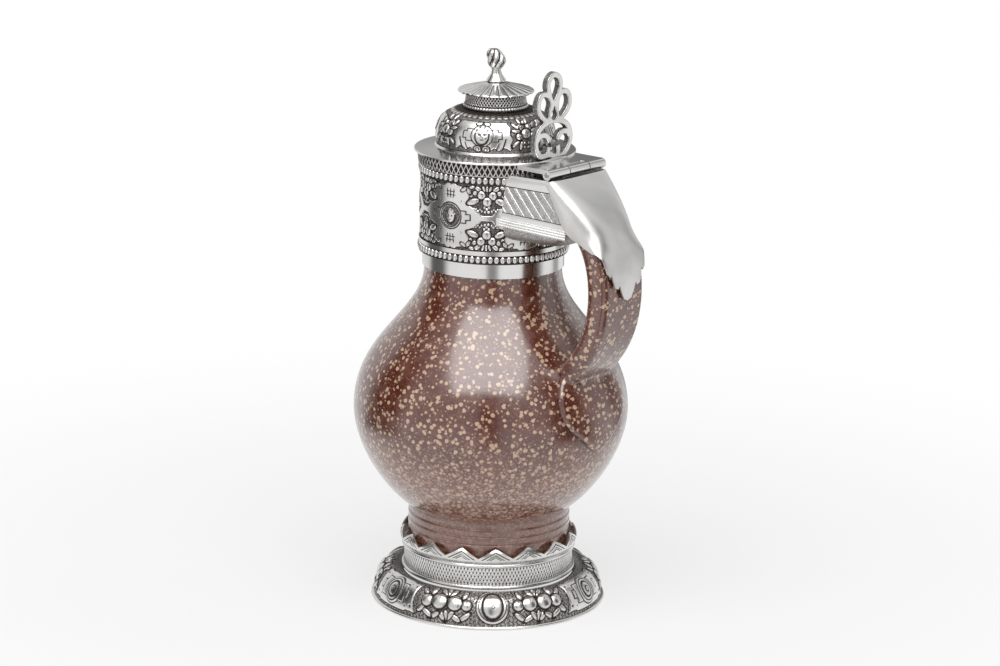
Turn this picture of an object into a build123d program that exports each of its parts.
"""Silver-mounted tigerware jug with a hinged lid.

A globular salt-glazed stoneware jug with a strap handle, set in a domed silver foot with a vandyked
collar, and closed by a domed silver lid. The lid turns on a three-knuckle hinge that stands on a box
mount over the root of the handle.

Frame: millimetres, +Z up, origin at the centre of the foot's resting face, handle towards +X.
"""

import os
from math import atan2, cos, degrees, hypot, pi, radians, sin

from build123d import *

os.makedirs("parts", exist_ok=True)

# Foot mount
foot_rim_radius = 54.7
rim_wire_width = 3.0
rim_wire_height = 1.9
rim_wire_round = 0.8
ovolo_rise = 12.8
ovolo_foot_inset = 1.5
foot_sheet = 0.9
foot_land_width = 6.0
torus_height = 1.9
torus_proud = 1.2
stamped_band_height = 8.4
stamped_band_sheet = 0.9
upper_moulding_height = 2.0
upper_moulding_proud = 1.3
collar_height = 7.6
collar_sheet = 0.8
collar_bulge = 1.0
collar_tip_lean = 1.2
collar_valley_share = 0.38
tongue_count = 16

# Stoneware jug
pot_foot_radius = 37.6
pot_foot_height = 30.5
pot_base_radius = 36.8
pot_belly_radius = 63.5
pot_belly_height = 92.0
pot_neck_radius = 31.6
pot_neck_start = 159.0
pot_neck_length = 50.0
pot_wall = 5.0
pot_neck_wall = 4.6
pot_base_wall = 6.5
turned_line_radius = 0.7
turned_line_depth = 0.35
turned_lines = (35.2, 38.9, 42.6)
bedding = 0.8

# Neck mount
skirt_height = 6.9
skirt_sheet = 0.9
skirt_gap = 0.1
neck_bedding_thickness = 1.3
band_sheet = 0.9
wire_height = 4.0
wire_proud = 0.9
fillet_moulding_height = 2.0
fillet_moulding_proud = 0.5
lip_above_wire = 2.0
trellis_height = 5.7
trellis_proud = 1.4
trellis_flare = 0.35
lining_sheet = 0.8
lining_depth = 9.0
seam_width = 0.4
seam_angle = -17.0
handle_window_gap = 0.4

# Handle of stoneware: the bow gives each point of its centre line as a distance from the jug's axis
# and a share of the way down from the root at the neck to the end on the belly
handle_width = 30.0
handle_thickness = 10.6
handle_edge_round = 3.4
handle_root_drop = 13.0
handle_end_rise = 18.5
handle_bow = (
    (28.0, 0.0),
    (45.0, 0.008),
    (56.5, 0.064),
    (64.5, 0.158),
    (69.3, 0.275),
    (71.4, 0.41),
    (70.9, 0.55),
    (67.6, 0.69),
    (61.5, 0.813),
    (53.0, 0.918),
    (43.0, 1.0),
)
terminal_thickness = 2.6
terminal_half_width = 22.0
terminal_wide_rise = 13.0
terminal_tip_drop = 11.0
terminal_top_rise = 29.0

# Box mount over the handle's root
hinge_reach = 11.5
box_sheet = 1.0
box_neck_half_width = 23.0
box_hinge_half_width = 19.4
box_low_neck_half_width = 25.2
box_low_end_half_width = 16.3
box_end_reach = 21.5
box_side_height = 16.5
box_low_slope = 5.3
box_top_sheet = 1.0
box_moulding_height = 3.6
box_moulding_proud = 1.1
belly_sag = 10.8
belly_end_sag = 2.6
cover_sheet = 1.1
cover_clearance = 0.2
cover_length = 51.6
cover_leaf_drop = 30.0
cover_leaf_half_width = 13.4
cover_shoulder_drop = 28.0
cheek_sheet = 0.9
cover_shoulder_half_width = 16.0

# Hinge
barrel_radius = 2.3
pin_radius = 1.1
pin_clearance = 0.05
pin_head_proud = 0.4
knuckle_lengths = (14.0, 14.0, 11.4)
knuckle_gap = 0.15
leaf_sheet = 2.0
leaf_inner_gap = 0.4
leaf_root_depth = 12.0
knuckle_web = 3.2

# Lid
lid_seat_gap = 0.1
brim_overhang = 1.7
brim_edge = 0.8
brim_rise = 2.4
brim_sheet = 1.0
brim_step_radius = 27.6
bezel_clearance = 0.4
bezel_sheet = 1.0
bezel_depth = 2.8
dome_base_radius = 26.4
dome_swell = 0.9
dome_height = 16.6
dome_sheet = 0.9
lid_collar_radius = 13.9
lid_collar_flare = 1.2
lid_collar_height = 7.0
lid_collar_sheet = 0.9
cap_radius = 17.5
cap_edge = 0.9
cap_rise = 3.9
cap_sheet = 1.0
flute_count = 24
flute_depth = 0.45
boss_radius = 4.4
boss_top_radius = 2.3
boss_height = 3.6
finial_neck_radius = 1.7
finial_neck_height = 1.8
bud_radius = 4.1
bud_height = 10.6
bud_ribs = 8
bud_rib_depth = 0.45
bud_twist = 75.0
finial_stud_radius = 1.2
finial_nut_width = 5.0
finial_nut_height = 2.2
stud_length = 10.5

# Thumbpiece
thumb_thickness = 3.0
thumb_ribbon = 2.5
thumb_height = 38.8
thumb_inset = 3.9

# Heights and radii that follow from the sizes above
pot_lip_height = pot_neck_start + pot_neck_length
land_top = rim_wire_height + ovolo_rise
torus_top = land_top + torus_height
stamped_top = torus_top + stamped_band_height
collar_base = stamped_top + upper_moulding_height
foot_sleeve_radius = pot_foot_radius + bedding
foot_band_radius = foot_sleeve_radius + stamped_band_sheet
pot_base_height = land_top + bedding
sleeve_inner_radius = pot_neck_radius + neck_bedding_thickness
band_radius = sleeve_inner_radius + band_sheet
wire_radius = band_radius + wire_proud
skirt_low = pot_neck_start + 0.7
skirt_top = skirt_low + skirt_height
low_wire_top = skirt_top + wire_height
fillet_top = low_wire_top + fillet_moulding_height
high_wire_top = pot_lip_height - lip_above_wire
band_top = high_wire_top - wire_height
trellis_top = high_wire_top + trellis_height
trellis_radius = band_radius + trellis_proud
brim_radius = trellis_radius + brim_overhang
brim_low = trellis_top + lid_seat_gap
brim_top = brim_low + brim_edge + brim_rise
dome_top = brim_top + dome_height
cap_low = dome_top + lid_collar_height
cap_top = cap_low + cap_edge + cap_rise
hinge_x = trellis_radius + hinge_reach
barrel_half = sum(knuckle_lengths) / 2
hinge_z = brim_low - barrel_radius
box_end_x = band_radius + box_end_reach
box_back_x = band_radius * 0.55
box_top_height = high_wire_top
box_low_height = box_top_height - box_side_height
moulding_low = box_low_height - box_moulding_height
cover_tip_height = box_top_height - cover_length
cover_leaf_height = box_top_height - cover_leaf_drop
cover_shoulder_height = box_top_height - cover_shoulder_drop
terminal_wide_height = pot_belly_height + terminal_wide_rise
terminal_tip_height = pot_belly_height - terminal_tip_drop
terminal_top_height = pot_belly_height + terminal_top_rise
handle_root_height = pot_lip_height - handle_root_drop
handle_fall = handle_root_height - pot_belly_height - handle_end_rise
handle_line = [(out, handle_root_height - handle_fall * share) for out, share in handle_bow]


def beside(points, amount, closed=False):
    """The points of a line moved sideways by an amount, to its left where positive."""
    moved = []
    last = len(points) - 1
    for i, (x, z) in enumerate(points):
        xa, za = points[i - 1] if closed or i else points[0]
        xb, zb = points[(i + 1) % len(points)] if closed or i < last else points[last]
        run = hypot(xb - xa, zb - za)
        moved.append((x - (zb - za) / run * amount, z + (xb - xa) / run * amount))
    return moved


def save(part, label):
    """Label one finished piece and write its file."""
    part.label = label
    export_step(part, f"parts/{label}.step")


def plain_ring(inner, outer, low, high, rounding=0):
    """A ring of rectangular section round the jug's axis, its outer edges rounded where asked."""
    with BuildPart() as ring:
        with BuildSketch(Plane.XY.offset(low)):
            Circle(outer)
            Circle(inner, mode=Mode.SUBTRACT)
        extrude(amount=high - low)
        if rounding:
            fillet(ring.edges().filter_by(GeomType.CIRCLE).sort_by(SortBy.RADIUS)[-2:], rounding)
    return ring.part


def pot_outline(belly, neck, foot, low, shoulder_z, high):
    """Half outline of the jug's outside, its inside, or a skin over it."""
    swell = pot_belly_height - shoulder_z
    rise = pot_neck_start - pot_belly_height
    with BuildLine() as line:
        up = Line((foot, low), (foot, shoulder_z))
        lower = Bezier(
            up @ 1,
            (foot + (belly - foot) * 0.42, shoulder_z + swell * 0.15),
            (belly, pot_belly_height - swell * 0.40),
            (belly, pot_belly_height),
        )
        upper = Bezier(
            lower @ 1,
            (belly, pot_belly_height + rise * 0.49),
            (neck, pot_neck_start - rise * 0.36),
            (neck, pot_neck_start),
        )
        side = Line(upper @ 1, (neck, high))
        Polyline(side @ 1, (0, high), (0, low), up @ 0)
    return line.line


def turned(outline):
    """A solid turned round the jug's axis from half its outline."""
    with BuildPart() as solid:
        with BuildSketch(Plane.XZ):
            with BuildLine():
                add(outline)
            make_face()
        revolve(axis=Axis.Z)
    return solid.part


# Stoneware body: thrown, hollow, with a turned foot
pot_foot_top = pot_base_height + pot_foot_height
pot_outside = turned(
    pot_outline(pot_belly_radius, pot_neck_radius, pot_foot_radius, pot_base_height, pot_foot_top, pot_lip_height)
)
pot_inside = turned(
    pot_outline(
        pot_belly_radius - pot_wall,
        pot_neck_radius - pot_neck_wall,
        pot_foot_radius - pot_wall,
        pot_base_height + pot_base_wall,
        pot_foot_top + pot_wall * 0.3,
        pot_lip_height + pot_wall,
    )
)

with BuildPart() as stoneware_body:
    add(pot_outside)
    add(pot_inside, mode=Mode.SUBTRACT)
    for line_height in turned_lines:
        with BuildSketch(Plane.XZ):
            with Locations((pot_foot_radius + turned_line_radius - turned_line_depth, line_height)):
                Circle(turned_line_radius)
        revolve(axis=Axis.Z, mode=Mode.SUBTRACT)
save(stoneware_body.part, "stoneware_body")

# Stoneware handle: a strap with rounded edges, and a thumbed pad that spreads over the belly
pot_skin = turned(
    pot_outline(
        pot_belly_radius + terminal_thickness,
        pot_neck_radius + terminal_thickness,
        pot_foot_radius + terminal_thickness,
        pot_base_height,
        pot_foot_top,
        pot_lip_height,
    )
)

pad_crown = terminal_top_height - terminal_wide_height
pad_tail = terminal_wide_height - terminal_tip_height
with BuildPart() as terminal_pad:
    add(pot_skin)
    with BuildSketch(Plane.YZ):
        with BuildLine():
            right = Spline(
                (0, terminal_top_height),
                (terminal_half_width * 0.72, terminal_top_height - pad_crown * 0.19),
                (terminal_half_width, terminal_wide_height),
                (terminal_half_width * 0.84, terminal_wide_height - pad_tail * 0.375),
                (terminal_half_width * 0.42, terminal_wide_height - pad_tail * 0.71),
                (0, terminal_tip_height),
                tangents=[(1, 0), (-1, -0.6)],
            )
            mirror(right, about=Plane.YZ)
        make_face()
    extrude(amount=pot_belly_radius * 1.5, mode=Mode.INTERSECT)

with BuildPart() as stoneware_handle:
    with BuildSketch(Plane.XZ):
        with BuildLine():
            back = Spline(*beside(handle_line, handle_thickness / 2))
            front = Spline(*beside(handle_line, -handle_thickness / 2))
            Line(back @ 0, front @ 0)
            Line(back @ 1, front @ 1)
        make_face()
    extrude(amount=handle_width / 2, both=True)
    fillet(stoneware_handle.edges().filter_by(GeomType.BSPLINE), handle_edge_round)
    add(terminal_pad.part)
    add(pot_outside, mode=Mode.SUBTRACT)
save(stoneware_handle.part, "stoneware_handle")

# Foot mount: rim wire, domed foot, moulded rings and the vandyked collar
with BuildPart() as foot_rim_wire:
    with BuildSketch(Plane.XZ):
        with Locations((foot_rim_radius - rim_wire_width / 2, rim_wire_height / 2)):
            Rectangle(rim_wire_width, rim_wire_height)
    revolve(axis=Axis.Z)
    rim_top = foot_rim_wire.edges().filter_by(GeomType.CIRCLE).group_by(Axis.Z)[-1].sort_by(SortBy.RADIUS)[-1]
    fillet(rim_top, rim_wire_round)
save(foot_rim_wire.part, "foot_rim_wire")

ovolo_radius = foot_rim_radius - ovolo_foot_inset
land_inner = foot_band_radius + torus_proud - foot_land_width
with BuildPart() as foot_base:
    with BuildSketch(Plane.XZ):
        with BuildLine():
            outside = Bezier(
                (ovolo_radius, rim_wire_height),
                (ovolo_radius - 0.2, rim_wire_height + ovolo_rise * 0.62),
                (ovolo_radius - 5.0, land_top + 2.1),
                (foot_band_radius + torus_proud + 1.2, land_top),
            )
            land = Line(outside @ 1, (land_inner, land_top))
            lip_edge = Line(land @ 1, (land_inner, land_top - foot_sheet))
            under = Line(lip_edge @ 1, (foot_band_radius + torus_proud + 1.2, land_top - foot_sheet))
            inside = Bezier(
                under @ 1,
                (ovolo_radius - 5.0 - foot_sheet * 0.6, land_top + 2.1 - foot_sheet),
                (ovolo_radius - 0.2 - foot_sheet, rim_wire_height + ovolo_rise * 0.62 - foot_sheet * 0.6),
                (ovolo_radius - foot_sheet, rim_wire_height),
            )
            Line(inside @ 1, outside @ 0)
        make_face()
    revolve(axis=Axis.Z)
save(foot_base.part, "foot_base")

foot_lower_moulding = plain_ring(
    foot_sleeve_radius, foot_band_radius + torus_proud, land_top, torus_top, torus_height * 0.42
)
save(foot_lower_moulding, "foot_lower_moulding")

foot_stamped_band = plain_ring(foot_sleeve_radius, foot_band_radius, torus_top, stamped_top)
save(foot_stamped_band, "foot_stamped_band")

foot_upper_moulding = plain_ring(
    foot_sleeve_radius,
    foot_band_radius + upper_moulding_proud,
    stamped_top,
    collar_base,
    upper_moulding_height * 0.4,
)
save(foot_upper_moulding, "foot_upper_moulding")

collar_radius = foot_band_radius + upper_moulding_proud * 0.7
collar_top = collar_base + collar_height
valley_height = collar_base + collar_height * collar_valley_share
tongue_half = pi * (collar_radius + collar_bulge) / tongue_count
with BuildPart() as vandyke_collar:
    with BuildSketch(Plane.XZ):
        with BuildLine():
            outer_side = ThreePointArc(
                (collar_radius, collar_base),
                (collar_radius + collar_bulge, collar_base + collar_height * 0.45),
                (collar_radius - collar_tip_lean, collar_top),
            )
            inner_side = ThreePointArc(
                (collar_radius - collar_sheet, collar_base),
                (collar_radius + collar_bulge - collar_sheet, collar_base + collar_height * 0.45),
                (collar_radius - collar_tip_lean - collar_sheet, collar_top),
            )
            Line(outer_side @ 0, inner_side @ 0)
            Line(outer_side @ 1, inner_side @ 1)
        make_face()
    revolve(axis=Axis.Z)
    for k in range(tongue_count):
        notch_plane = Plane.YZ.rotated((0, 0, 360 / tongue_count * (k + 0.5)))
        with BuildSketch(notch_plane):
            Polygon(
                (0, valley_height),
                (tongue_half, collar_top + 0.01),
                (tongue_half, collar_top + 1),
                (-tongue_half, collar_top + 1),
                (-tongue_half, collar_top + 0.01),
                align=None,
            )
        extrude(amount=collar_radius * 1.3, mode=Mode.SUBTRACT)
save(vandyke_collar.part, "vandyke_collar")

# Plaster bed that seats the jug's base in the foot mount
with BuildPart() as foot_bedding:
    with BuildSketch(Plane.XZ):
        with BuildLine():
            Polyline(
                (land_inner, land_top),
                (foot_sleeve_radius, land_top),
                (foot_sleeve_radius, collar_base - 1),
                (pot_foot_radius, collar_base - 1),
                (pot_foot_radius, pot_base_height),
                (land_inner, pot_base_height),
                close=True,
            )
        make_face()
    revolve(axis=Axis.Z)
save(foot_bedding.part, "foot_bedding")


# Neck mount: an open sleeve wrapped round the neck, whose seam shows just beside the box mount
def seamed(ring_part, outer, low, high):
    """Cut the narrow upright seam through one ring of the neck mount."""
    with BuildPart() as cut_ring:
        add(ring_part)
        with BuildSketch(Plane.XY.offset(low - 1)):
            with Locations((outer * cos(radians(seam_angle)), outer * sin(radians(seam_angle)))):
                Rectangle(band_sheet * 6 + wire_proud * 2, seam_width, rotation=seam_angle)
        extrude(amount=high - low + 2, mode=Mode.SUBTRACT)
    return cut_ring.part


skirt_inner = pot_neck_radius + skirt_gap
skirt_ring = plain_ring(skirt_inner, skirt_inner + skirt_sheet, skirt_low, skirt_top)
save(seamed(skirt_ring, skirt_inner, skirt_low, skirt_top), "neck_skirt")

# The band and its bedding are pierced for the root of the handle, which springs from the neck
with BuildPart() as handle_window:
    with BuildSketch(Plane.YZ):
        with Locations((0, handle_line[0][1])):
            Rectangle(handle_width + handle_window_gap * 2, handle_thickness + handle_window_gap * 2)
    extrude(amount=band_radius * 1.2)

seam_top = (fillet_top + moulding_low - belly_sag) / 2
band_ring = plain_ring(sleeve_inner_radius, band_radius, skirt_top, pot_lip_height)
seamed_band = seamed(band_ring, band_radius, skirt_top, seam_top)
with BuildPart() as neck_band:
    add(seamed_band)
    add(handle_window.part, mode=Mode.SUBTRACT)
save(neck_band.part, "neck_band")

bedding_ring = plain_ring(pot_neck_radius, sleeve_inner_radius, skirt_top, pot_lip_height)
with BuildPart() as neck_bedding:
    add(bedding_ring)
    add(handle_window.part, mode=Mode.SUBTRACT)
save(neck_bedding.part, "neck_bedding")

low_wire_ring = plain_ring(band_radius, wire_radius, skirt_top, low_wire_top)
save(seamed(low_wire_ring, wire_radius, skirt_top, low_wire_top), "lower_bead_wire")

fillet_ring = plain_ring(band_radius, band_radius + fillet_moulding_proud, low_wire_top, fillet_top)
save(seamed(fillet_ring, band_radius, low_wire_top, fillet_top), "lower_fillet_wire")

# The upper bead wire stops at each side of the box mount
high_wire_ring = plain_ring(band_radius, wire_radius, band_top, high_wire_top)
with BuildPart() as upper_bead_wire:
    add(high_wire_ring)
    with BuildSketch(Plane.XY.offset(band_top - 1)):
        with Locations((wire_radius, 0)):
            Rectangle(wire_radius * 1.6, box_low_neck_half_width * 2)
    extrude(amount=wire_height + 2, mode=Mode.SUBTRACT)
save(upper_bead_wire.part, "upper_bead_wire")

with BuildPart() as trellis_rim:
    with BuildSketch(Plane.XZ):
        with BuildLine():
            Polyline(
                (band_radius, high_wire_top),
                (trellis_radius - trellis_flare, high_wire_top),
                (trellis_radius, high_wire_top + trellis_height * 0.55),
                (trellis_radius - trellis_flare, trellis_top),
                (band_radius, trellis_top),
                close=True,
            )
        make_face()
    revolve(axis=Axis.Z)
save(trellis_rim.part, "trellis_rim")

# Mouth lining: folds over the stoneware lip and is caught in the rim
lining_inner = pot_neck_radius - pot_neck_wall - lining_sheet
with BuildPart() as mouth_lining:
    with BuildSketch(Plane.XZ):
        with BuildLine():
            Polyline(
                (lining_inner, pot_lip_height - lining_depth),
                (lining_inner + lining_sheet, pot_lip_height - lining_depth),
                (lining_inner + lining_sheet, pot_lip_height),
                (band_radius, pot_lip_height),
                (band_radius, pot_lip_height + lining_sheet),
                (lining_inner, pot_lip_height + lining_sheet),
                close=True,
            )
        make_face()
    revolve(axis=Axis.Z)
save(mouth_lining.part, "mouth_lining")

# Box mount: two chased side panels, their mouldings, a top plate and a curved underside
slope_sin = sin(radians(box_low_slope))
slope_cos = cos(radians(box_low_slope))
box_low_plane = Plane((0, 0, box_low_height), x_dir=(slope_cos, 0, -slope_sin), z_dir=(slope_sin, 0, slope_cos))
low_end = box_end_x / slope_cos


def box_envelope(inset, beyond):
    """The box's outer form between its low and top outlines, drawn in by inset at each side."""
    with BuildPart() as envelope:
        with BuildSketch(box_low_plane):
            Polygon(
                (box_back_x, -box_low_neck_half_width + inset),
                (low_end + beyond, -box_low_end_half_width + inset),
                (low_end + beyond, box_low_end_half_width - inset),
                (box_back_x, box_low_neck_half_width - inset),
                align=None,
            )
        with BuildSketch(Plane.XY.offset(box_top_height)):
            Polygon(
                (box_back_x, -box_neck_half_width + inset),
                (hinge_x + beyond, -box_hinge_half_width + inset),
                (hinge_x + beyond, box_hinge_half_width - inset),
                (box_back_x, box_neck_half_width - inset),
                align=None,
            )
        loft(ruled=True)
    return envelope.part


# The room that the neck mount takes up, with its lower wires, which the box is fitted round
with BuildPart() as neck_plug:
    with BuildSketch(Plane.XY.offset(moulding_low - belly_sag * 3)):
        Circle(band_radius)
    extrude(amount=trellis_top)
    with BuildSketch(Plane.XY.offset(skirt_low)):
        Circle(wire_radius)
    extrude(amount=fillet_top - skirt_low)

box_outside = box_envelope(0, 0)
box_inside = box_envelope(box_sheet, 5)
for side, direction in (("left", -1), ("right", 1)):
    with BuildPart() as box_side:
        add(box_outside)
        add(box_inside, mode=Mode.SUBTRACT)
        add(neck_plug.part, mode=Mode.SUBTRACT)
        add(stoneware_handle.part, mode=Mode.SUBTRACT)
        split(bisect_by=Plane.XZ, keep=Keep.BOTTOM if direction > 0 else Keep.TOP)
    save(box_side.part, f"box_side_{side}")

    with BuildPart() as box_moulding:
        with BuildSketch(box_low_plane):
            Polygon(
                (box_back_x, direction * (box_low_neck_half_width + box_moulding_proud)),
                (low_end + 1, direction * (box_low_end_half_width + box_moulding_proud)),
                (low_end + 1, direction * (box_low_end_half_width - box_sheet)),
                (box_back_x, direction * (box_low_neck_half_width - box_sheet)),
                align=None,
            )
        extrude(amount=-box_moulding_height)
        add(neck_plug.part, mode=Mode.SUBTRACT)
        add(stoneware_handle.part, mode=Mode.SUBTRACT)
    save(box_moulding.part, f"box_moulding_{side}")

with BuildPart() as box_top_plate:
    with BuildSketch(Plane.XY.offset(box_top_height)):
        Polygon(
            (box_back_x, -box_neck_half_width),
            (hinge_x + barrel_radius * 0.4, -box_hinge_half_width),
            (hinge_x + barrel_radius * 0.4, box_hinge_half_width),
            (box_back_x, box_neck_half_width),
            align=None,
        )
        Circle(trellis_radius, mode=Mode.SUBTRACT)
    extrude(amount=box_top_sheet)
save(box_top_plate.part, "box_top_plate")


def belly_form(inset):
    """The boat-shaped form under the handle's root, drawn in by inset all round."""
    with BuildPart() as form:
        for x, half, sag in (
            (box_back_x, box_low_neck_half_width, belly_sag),
            (low_end, box_low_end_half_width, belly_end_sag),
        ):
            section_plane = Plane(
                box_low_plane.from_local_coords((x, 0, -box_moulding_height)),
                x_dir=(0, 1, 0),
                z_dir=(slope_cos, 0, -slope_sin),
            )
            with BuildSketch(section_plane):
                with BuildLine():
                    curve = ThreePointArc((-half + inset, 0), (0, inset - sag), (half - inset, 0))
                    Line(curve @ 0, curve @ 1)
                make_face()
        loft(ruled=True)
    return form.part


belly_outside = belly_form(0)
belly_inside = belly_form(box_sheet)
with BuildPart() as box_belly:
    add(belly_outside)
    add(belly_inside, mode=Mode.SUBTRACT)
    add(neck_plug.part, mode=Mode.SUBTRACT)
    add(stoneware_handle.part, mode=Mode.SUBTRACT)
save(box_belly.part, "box_belly")

# Cover plate: follows the back of the handle from the hinge down to a lobed leaf
plate_start = (hinge_x + barrel_radius * 0.6, box_top_height - 0.1)


def plate_side(gap):
    """The cover plate's line in side view, at a gap over the handle's back."""
    over = beside(handle_line, handle_thickness / 2 + gap)
    lift = gap * 0.7
    upper = (plate_start[0] + lift, plate_start[1] + lift)
    middle = (plate_start[0] * 0.45 + over[3][0] * 0.55 + lift, plate_start[1] * 0.47 + over[3][1] * 0.53 + lift)
    return [upper, middle, *over[3:8]]


# Its two cheeks turn in from the plate to the open end of the box, outside the handle
with BuildPart() as cover_cheeks:
    with BuildSketch(Plane.XZ):
        with BuildLine():
            cheek_back = Spline(*plate_side(cover_clearance + cover_sheet))
            Polyline(
                cheek_back @ 1,
                handle_line[4],
                handle_line[3],
                (box_end_x, box_low_height - low_end * slope_sin + cover_clearance * 2),
                (hinge_x, box_top_height),
                cheek_back @ 0,
            )
        make_face()
    extrude(amount=box_hinge_half_width * 1.3, both=True)
    with BuildSketch(Plane.YZ):
        for direction in (-1, 1):
            Polygon(
                (direction * box_hinge_half_width, box_top_height),
                (direction * cover_shoulder_half_width, cover_shoulder_height),
                (direction * (cover_shoulder_half_width - cheek_sheet), cover_shoulder_height),
                (direction * (box_hinge_half_width - cheek_sheet), box_top_height),
                align=None,
            )
    extrude(amount=pot_belly_radius * 1.5, mode=Mode.INTERSECT)

with BuildPart() as handle_cover_plate:
    with BuildSketch(Plane.XZ):
        with BuildLine():
            plate_in = Spline(*plate_side(cover_clearance))
            plate_out = Spline(*plate_side(cover_clearance + cover_sheet))
            Line(plate_in @ 0, plate_out @ 0)
            Line(plate_in @ 1, plate_out @ 1)
        make_face()
    extrude(amount=box_hinge_half_width * 1.3, both=True)
    leaf = cover_leaf_height - cover_tip_height
    with BuildSketch(Plane.YZ):
        with BuildLine():
            right_side = Polyline(
                (box_hinge_half_width, box_top_height + 9),
                (box_hinge_half_width, box_top_height),
                (cover_shoulder_half_width, cover_shoulder_height),
                (cover_leaf_half_width, cover_leaf_height - leaf * 0.15),
            )
            Spline(
                right_side @ 1,
                (cover_leaf_half_width * 0.98, cover_leaf_height - leaf * 0.34),
                (cover_leaf_half_width * 0.74, cover_leaf_height - leaf * 0.42),
            )
            Spline(
                (cover_leaf_half_width * 0.74, cover_leaf_height - leaf * 0.42),
                (cover_leaf_half_width * 0.72, cover_leaf_height - leaf * 0.68),
                (cover_leaf_half_width * 0.42, cover_leaf_height - leaf * 0.66),
            )
            Spline(
                (cover_leaf_half_width * 0.42, cover_leaf_height - leaf * 0.66),
                (cover_leaf_half_width * 0.3, cover_tip_height + leaf * 0.1),
                (0, cover_tip_height),
            )
            mirror(about=Plane.YZ)
            Line((-box_hinge_half_width, box_top_height + 9), (box_hinge_half_width, box_top_height + 9))
        make_face()
    extrude(amount=pot_belly_radius * 1.5, mode=Mode.INTERSECT)
    add(cover_cheeks.part)
    add(box_outside, mode=Mode.SUBTRACT)
    add(box_top_plate.part, mode=Mode.SUBTRACT)
save(handle_cover_plate.part, "handle_cover_plate")

# Hinge: the two outer knuckles belong to the lid's leaf, the centre one to the box
first_seam = -barrel_half + knuckle_lengths[0]
second_seam = first_seam + knuckle_lengths[1]


def knuckle(low, high):
    """One bored length of the hinge barrel."""
    with BuildPart() as tube:
        with BuildSketch(Plane.XZ.offset(-low)):
            with Locations((hinge_x, hinge_z)):
                Circle(barrel_radius)
                Circle(pin_radius + pin_clearance, mode=Mode.SUBTRACT)
        extrude(amount=-(high - low))
    return tube.part


with BuildPart() as pin_bore:
    with BuildSketch(Plane.XZ.offset(barrel_half + 1)):
        with Locations((hinge_x, hinge_z)):
            Circle(pin_radius + pin_clearance)
    extrude(amount=-(barrel_half * 2 + 2))

centre_knuckle = knuckle(first_seam + knuckle_gap, second_seam - knuckle_gap)
near_knuckle = knuckle(-barrel_half, first_seam)
far_knuckle = knuckle(second_seam, barrel_half)

with BuildPart() as box_centre_knuckle:
    add(centre_knuckle)
    web_low = box_top_height + box_top_sheet
    with BuildSketch(Plane.XY.offset(web_low)):
        with Locations((hinge_x - barrel_radius * 0.3, (first_seam + second_seam) / 2)):
            Rectangle(knuckle_web, knuckle_lengths[1] - knuckle_gap * 2)
    extrude(amount=hinge_z - web_low)
    add(pin_bore.part, mode=Mode.SUBTRACT)
save(box_centre_knuckle.part, "box_centre_knuckle")

with BuildPart() as lid_hinge_leaf:
    with BuildSketch(Plane.XY.offset(brim_low - leaf_sheet)):
        with Locations(((hinge_x + trellis_radius - leaf_root_depth) / 2, 0)):
            Rectangle(hinge_reach + leaf_root_depth, barrel_half * 2)
        Circle(trellis_radius + leaf_inner_gap, mode=Mode.SUBTRACT)
        with Locations((hinge_x, (first_seam + second_seam) / 2)):
            Rectangle((barrel_radius + leaf_inner_gap) * 2, knuckle_lengths[1] + knuckle_gap, mode=Mode.SUBTRACT)
    extrude(amount=leaf_sheet)
    add(near_knuckle)
    add(far_knuckle)
    add(pin_bore.part, mode=Mode.SUBTRACT)
save(lid_hinge_leaf.part, "lid_hinge_leaf")

with BuildPart() as hinge_pin:
    with BuildSketch(Plane.XZ.offset(barrel_half + pin_head_proud)):
        with Locations((hinge_x, hinge_z)):
            Circle(pin_radius)
    extrude(amount=-(barrel_half + pin_head_proud) * 2)
    fillet(hinge_pin.edges().filter_by(GeomType.CIRCLE), pin_head_proud * 0.6)
save(hinge_pin.part, "hinge_pin")

# Lid: brim with its bezel, dome, stamped collar, fluted cap and finial
brim_slope_top = brim_top - 0.9
with BuildPart() as lid_brim:
    with BuildSketch(Plane.XZ):
        with BuildLine():
            Polyline(
                (dome_base_radius - 2.4, brim_top),
                (dome_base_radius + 0.6, brim_top),
                (brim_step_radius, brim_slope_top),
                (brim_radius - 0.3, brim_low + brim_edge),
                (brim_radius, brim_low + brim_edge * 0.6),
                (brim_radius, brim_low),
                (trellis_radius - trellis_proud - 2.6, brim_low),
                (brim_step_radius - 0.6, brim_slope_top - brim_sheet),
                (dome_base_radius - 2.4, brim_slope_top - brim_sheet + 0.4),
                close=True,
            )
        make_face()
    revolve(axis=Axis.Z)
save(lid_brim.part, "lid_brim")

bezel_radius = band_radius - bezel_clearance
save(plain_ring(bezel_radius - bezel_sheet, bezel_radius, brim_low - bezel_depth, brim_low), "lid_bezel")

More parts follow.
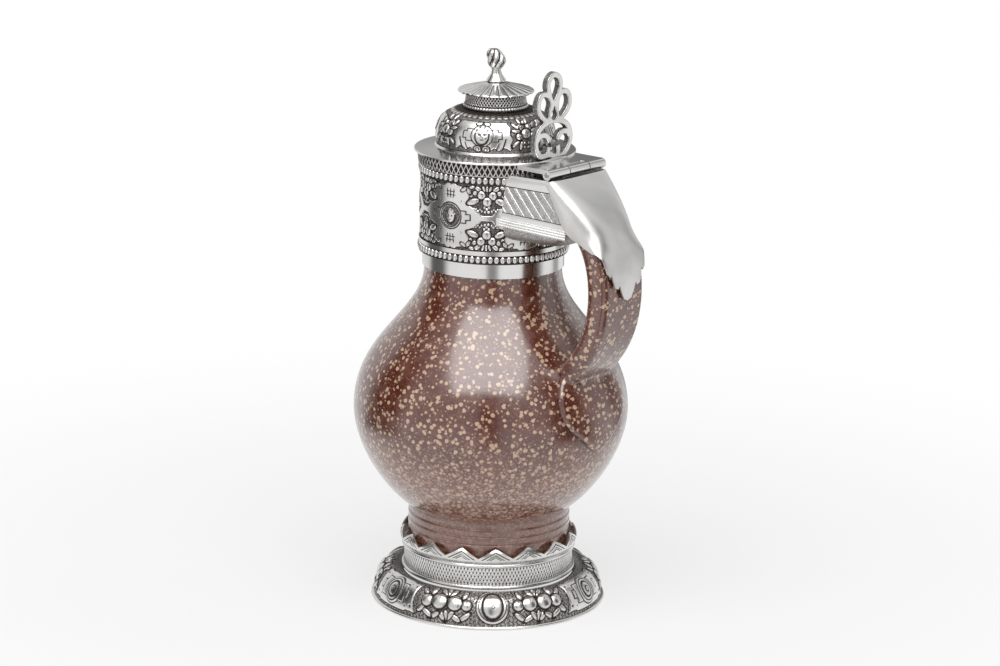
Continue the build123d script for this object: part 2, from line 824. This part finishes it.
with BuildPart() as lid_dome:
    with BuildSketch(Plane.XZ):
        with BuildLine():
            dome_out = Bezier(
                (dome_base_radius, brim_top),
                (dome_base_radius + dome_swell * 2.9, brim_top + dome_height * 0.42),
                (dome_base_radius * 0.93, dome_top - dome_height * 0.06),
                (lid_collar_radius + lid_collar_flare, dome_top),
            )
            dome_rim = Line(dome_out @ 1, (lid_collar_radius - lid_collar_sheet - 1, dome_top))
            dome_fold = Line(dome_rim @ 1, (lid_collar_radius - lid_collar_sheet - 1, dome_top - dome_sheet))
            dome_under = Line(dome_fold @ 1, (lid_collar_radius + lid_collar_flare, dome_top - dome_sheet))
            dome_in = Bezier(
                dome_under @ 1,
                (dome_base_radius * 0.93 - dome_sheet * 0.6, dome_top - dome_height * 0.06 - dome_sheet),
                (dome_base_radius + dome_swell * 2.9 - dome_sheet, brim_top + dome_height * 0.42 - dome_sheet * 0.4),
                (dome_base_radius - dome_sheet, brim_top),
            )
            Line(dome_in @ 1, dome_out @ 0)
        make_face()
    revolve(axis=Axis.Z)
save(lid_dome.part, "lid_dome")

with BuildPart() as lid_collar:
    with BuildSketch(Plane.XZ):
        with BuildLine():
            waist = ThreePointArc(
                (lid_collar_radius + lid_collar_flare, dome_top),
                (lid_collar_radius, dome_top + lid_collar_height * 0.6),
                (lid_collar_radius + lid_collar_flare * 0.3, cap_low),
            )
            Polyline(
                waist @ 1,
                (lid_collar_radius - lid_collar_sheet, cap_low),
                (lid_collar_radius - lid_collar_sheet, dome_top),
                waist @ 0,
            )
        make_face()
    revolve(axis=Axis.Z)
save(lid_collar.part, "lid_collar")

cap_shoulder = cap_low + cap_edge
with BuildPart() as lid_cap:
    with BuildSketch(Plane.XZ):
        with BuildLine():
            Polyline(
                (finial_stud_radius + 0.1, cap_top),
                (boss_radius, cap_top),
                (cap_radius - 0.3, cap_shoulder),
                (cap_radius, cap_shoulder - cap_edge * 0.4),
                (cap_radius, cap_low),
                (lid_collar_radius - lid_collar_sheet, cap_low),
                (boss_radius, cap_top - cap_sheet),
                (finial_stud_radius + 0.1, cap_top - cap_sheet),
                close=True,
            )
        make_face()
    revolve(axis=Axis.Z)
    slope = degrees(atan2(cap_rise, cap_radius - boss_radius))
    for k in range(flute_count):
        groove_plane = Plane((cap_radius, 0, cap_shoulder), z_dir=(-cos(radians(slope)), 0, sin(radians(slope))))
        with BuildSketch(groove_plane) as groove:
            Circle(flute_depth)
        cutter = extrude(groove.sketch, amount=cap_radius - boss_radius - 1.5, mode=Mode.PRIVATE)
        add(cutter.rotate(Axis.Z, 360 / flute_count * k), mode=Mode.SUBTRACT)
save(lid_cap.part, "lid_cap")

with BuildPart() as finial_boss:
    with BuildSketch(Plane.XZ):
        with BuildLine():
            Polyline(
                (finial_stud_radius + 0.1, cap_top),
                (boss_radius, cap_top),
                (boss_radius, cap_top + boss_height * 0.15),
                (boss_top_radius, cap_top + boss_height),
                (finial_stud_radius + 0.1, cap_top + boss_height),
                close=True,
            )
        make_face()
    revolve(axis=Axis.Z)
save(finial_boss.part, "finial_boss")


def rib_outline(radius, turn):
    """A ribbed round section of the bud, turned about its own axis."""
    points = []
    for k in range(bud_ribs * 2):
        depth = bud_rib_depth * radius / bud_radius if k % 2 else 0
        angle = radians(turn) + pi * k / bud_ribs
        points.append(((radius - depth) * cos(angle), (radius - depth) * sin(angle)))
    return points


bud_low = cap_top + boss_height + finial_neck_height
with BuildPart() as finial:
    for share, swell in ((0, 0.5), (0.2, 0.86), (0.42, 1.0), (0.68, 0.86), (0.88, 0.5), (1.0, 0.2)):
        with BuildSketch(Plane.XY.offset(bud_low + bud_height * share)):
            with BuildLine():
                Spline(*rib_outline(bud_radius * swell, bud_twist * share), periodic=True)
            make_face()
    loft()
    with BuildSketch(Plane.XY.offset(cap_top + boss_height)):
        Circle(finial_neck_radius)
    extrude(amount=finial_neck_height + 0.3)
    with BuildSketch(Plane.XY.offset(cap_top + boss_height)):
        Circle(finial_stud_radius)
    extrude(amount=-stud_length)
save(finial.part, "finial")

nut_top = cap_top - cap_sheet
with BuildPart() as finial_nut:
    with BuildSketch(Plane.XY.offset(nut_top)):
        RegularPolygon(finial_nut_width / 2, 6, major_radius=False)
        Circle(finial_stud_radius, mode=Mode.SUBTRACT)
    extrude(amount=-finial_nut_height)
save(finial_nut.part, "finial_nut")

# Thumbpiece: cast openwork of three loops over a heart-shaped base, standing on the brim by the hinge
thumb_x = brim_radius - thumb_inset
thumb_low = brim_low + brim_edge


def at_size(points):
    """Points of the openwork given as shares of its height, in millimetres."""
    return [(x * thumb_height, z * thumb_height) for x, z in points]


def mirrored(points):
    """The same points on the other side of the thumbpiece's middle line."""
    return [(-x, z) for x, z in reversed(points)]


# Each loop runs anticlockwise, so the ribbon lies to the right of its line
top_gap = at_size([(0, 0.69), (0.066, 0.80), (0.078, 0.885), (0, 0.95), (-0.078, 0.885), (-0.066, 0.80)])
side_gap = at_size([(0.115, 0.485), (0.20, 0.545), (0.252, 0.64), (0.20, 0.735), (0.12, 0.72), (0.085, 0.60)])
heart_gap = at_size([(-0.032, 0.56), (-0.05, 0.49), (0, 0.455), (0.05, 0.49), (0.032, 0.56), (0, 0.62)])
base_right = at_size([(0, 0.065), (0.22, 0.085), (0.28, 0.20), (0.235, 0.335), (0.13, 0.395)])
curl = at_size([(0.29, 0.24), (0.23, 0.29), (0.14, 0.285), (0.075, 0.21)])
lobe = at_size([(0.085, 0.03), (0.09, 0.10), (0.08, 0.145)])
gaps = (top_gap, side_gap, mirrored(side_gap), heart_gap, base_right + mirrored(base_right)[:-1])
thumb_plane = Plane((thumb_x - thumb_thickness / 2, 0, thumb_low), x_dir=(0, 1, 0), z_dir=(1, 0, 0))

with BuildPart() as thumbpiece:
    for gap in gaps:
        with BuildSketch(thumb_plane):
            with BuildLine():
                Spline(*beside(gap, -thumb_ribbon, closed=True), periodic=True)
            make_face()
        extrude(amount=thumb_thickness)
    for gap in gaps:
        with BuildSketch(thumb_plane):
            with BuildLine():
                Spline(*gap, periodic=True)
            make_face()
        extrude(amount=thumb_thickness, mode=Mode.SUBTRACT)
    for line in (curl, mirrored(curl), lobe, mirrored(lobe)):
        with BuildSketch(thumb_plane):
            with BuildLine():
                one_side = Spline(*beside(line, thumb_ribbon / 2))
                other_side = Spline(*beside(line, -thumb_ribbon / 2))
                Line(one_side @ 0, other_side @ 0)
                Line(one_side @ 1, other_side @ 1)
            make_face()
        extrude(amount=thumb_thickness)
    with BuildSketch(Plane.XZ):
        Polygon(
            (brim_radius - 0.3, brim_low + brim_edge),
            (brim_step_radius, brim_slope_top),
            (brim_step_radius, brim_low - brim_rise),
            (brim_radius - 0.3, brim_low - brim_rise),
            align=None,
        )
    extrude(amount=thumb_height, both=True, mode=Mode.SUBTRACT)
save(thumbpiece.part, "thumbpiece")
